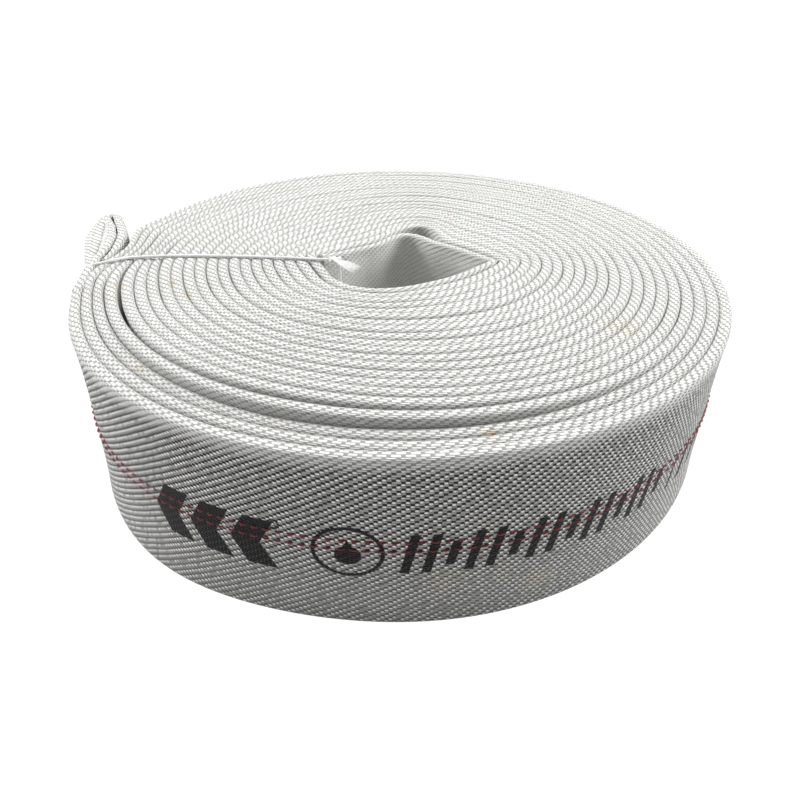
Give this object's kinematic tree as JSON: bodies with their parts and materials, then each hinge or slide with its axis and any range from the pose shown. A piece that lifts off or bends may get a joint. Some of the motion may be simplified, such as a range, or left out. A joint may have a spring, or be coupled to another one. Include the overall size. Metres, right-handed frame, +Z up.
{
  "type": "rolled fire hose",
  "caption": "Flat-rolled white woven layflat fire hose lying on its side, tied with a cord through its core, with a folded-back loop at its outer end.",
  "frame": {"origin": "middle of the footprint box, on the surface that the roll lies on", "axes": "+Z up along the roll's axis; +Y from the front, where the wall is printed, to the back; the tied loop is at -X"},
  "size_m": [0.533, 0.5037, 0.1349],
  "materials": {
    "jacket_weave": "circular-woven off-white polyester, matt",
    "lining_rubber": "smooth satin lining",
    "tracer_yarn": "dark red polyester yarn",
    "tie_string": "thin white spun cord"
  },
  "bodies": {
    "root": {"hose_jacket": "jacket_weave", "hose_lining": "lining_rubber", "tracer_yarn_upper": "tracer_yarn", "tracer_yarn_lower": "tracer_yarn", "tie_cord": "tie_string"}
  },
  "joints": []
}
